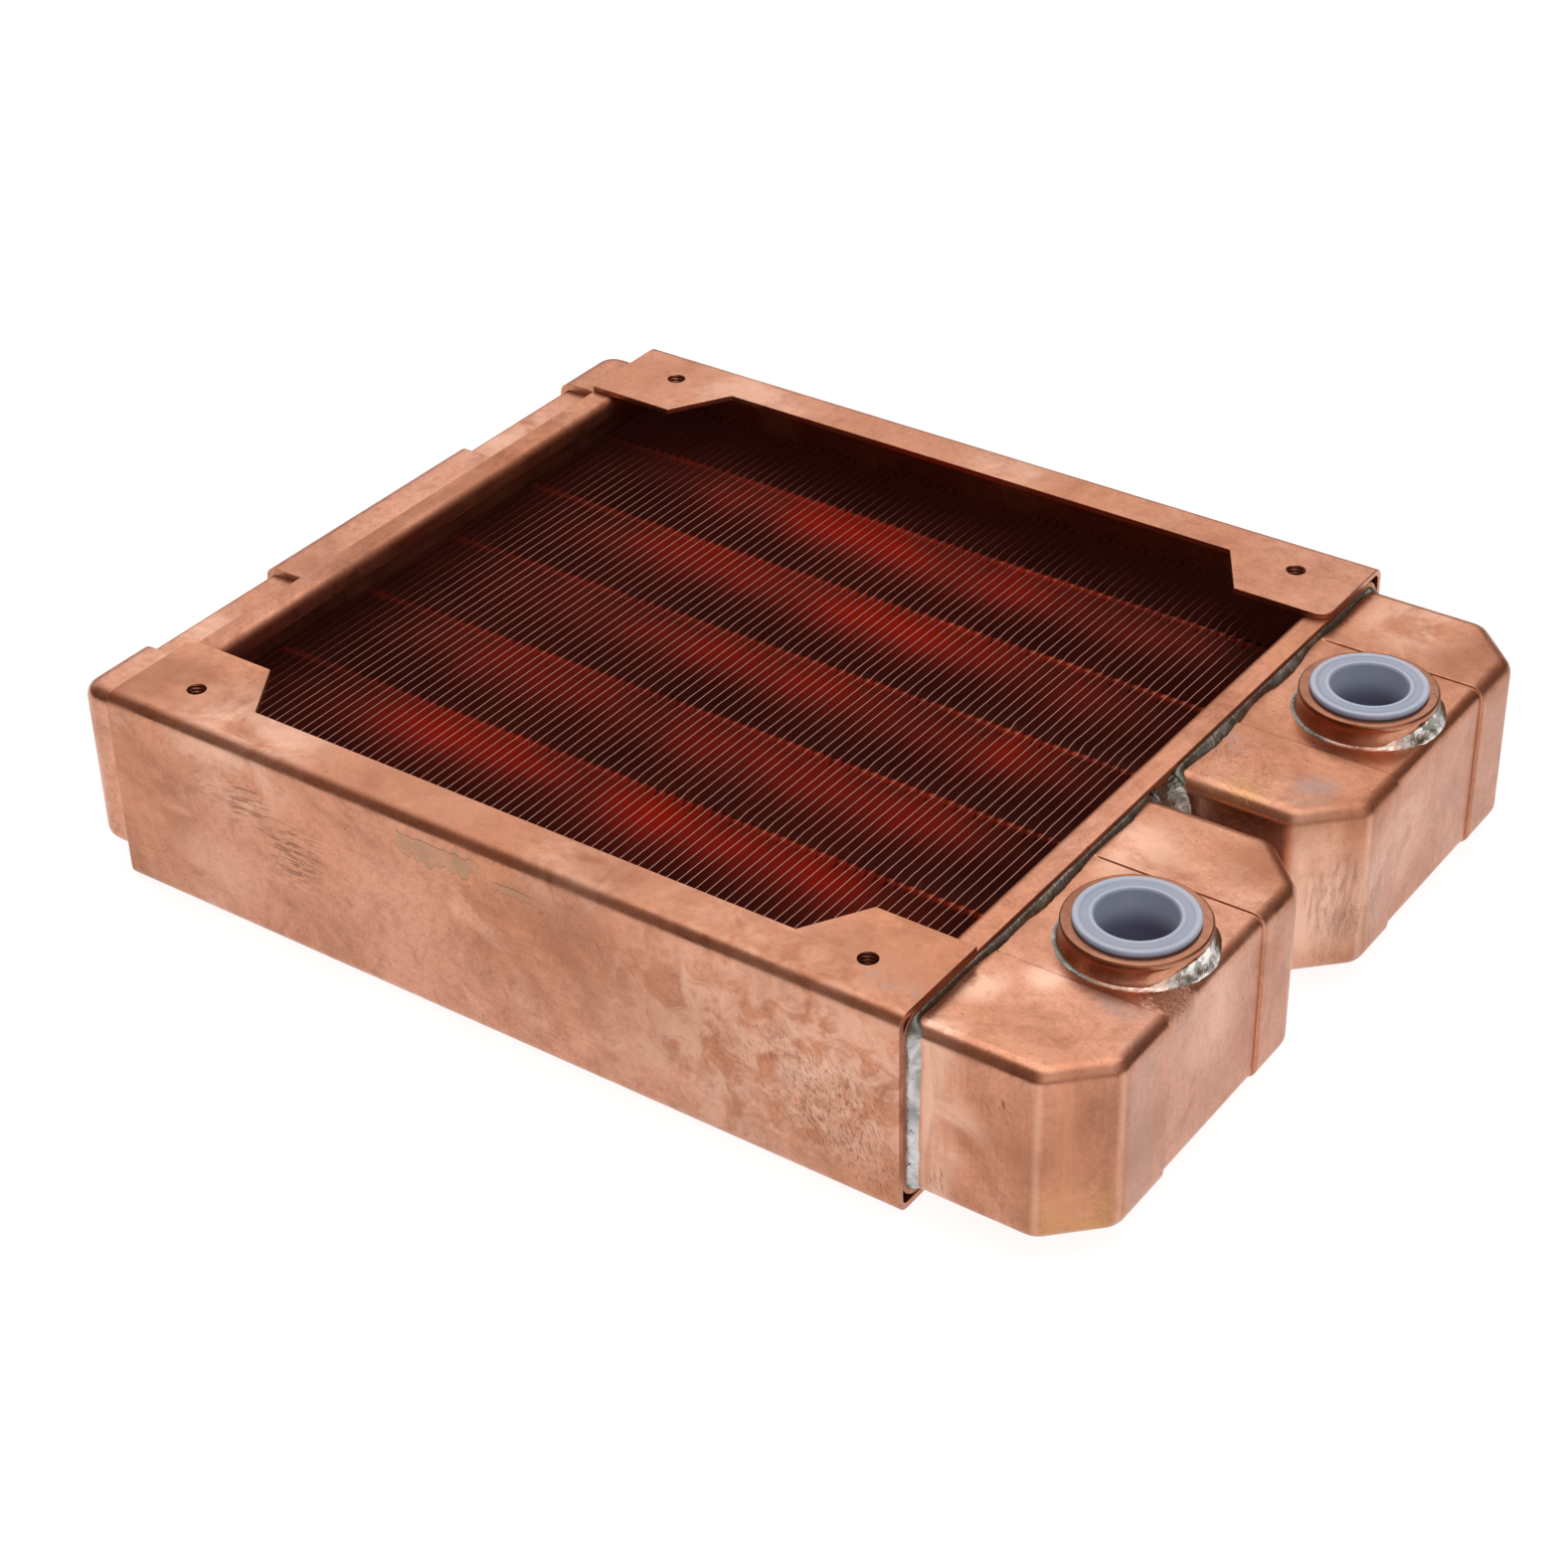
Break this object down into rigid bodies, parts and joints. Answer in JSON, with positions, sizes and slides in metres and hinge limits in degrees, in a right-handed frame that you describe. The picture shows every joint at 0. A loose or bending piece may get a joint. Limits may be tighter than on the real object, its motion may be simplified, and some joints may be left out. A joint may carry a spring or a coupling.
{
  "type": "liquid heat exchanger",
  "caption": "All-copper liquid-to-air heat exchanger with a plate-fin core on flat tubes, folded side channels with fan screw holes, and soldered end tanks with plugged ports.",
  "frame": {"origin": "midway between the four lower fan screw holes, on the lower face of the side channels", "axes": "+X along the flat tubes towards the two port tanks, +Y across the tubes, +Z the way the ports open"},
  "size_m": [0.1554, 0.12, 0.0305],
  "materials": {
    "side_copper": "satin rolled copper, lightly handled",
    "header_copper": "satin drawn copper",
    "tank_copper": "satin drawn copper with hammer scratches",
    "boss_copper": "turned copper, half bright",
    "fin_copper": "plain thin copper sheet",
    "tube_copper": "plain drawn copper",
    "solder": "dull tin solder with bright spots",
    "plug_plastic": "milky blue-white moulded plastic"
  },
  "bodies": {
    "root": {"side_channel_front": "side_copper", "side_channel_rear": "side_copper", "return_header": "header_copper", "port_header": "header_copper", "return_tank": "tank_copper", "return_seam_solder": "solder", "front_port_tank": "tank_copper", "front_seam_solder": "solder", "rear_port_tank": "tank_copper", "rear_seam_solder": "solder", "tank_gap_solder": "solder", "port_bosses": "boss_copper", "port_plugs": "plug_plastic", "boss_solder": "solder", "flat_tube_1": "tube_copper", "flat_tube_2": "tube_copper", "flat_tube_3": "tube_copper", "flat_tube_4": "tube_copper", "flat_tube_5": "tube_copper", "flat_tube_6": "tube_copper", "fin_stack": "fin_copper"}
  },
  "joints": []
}
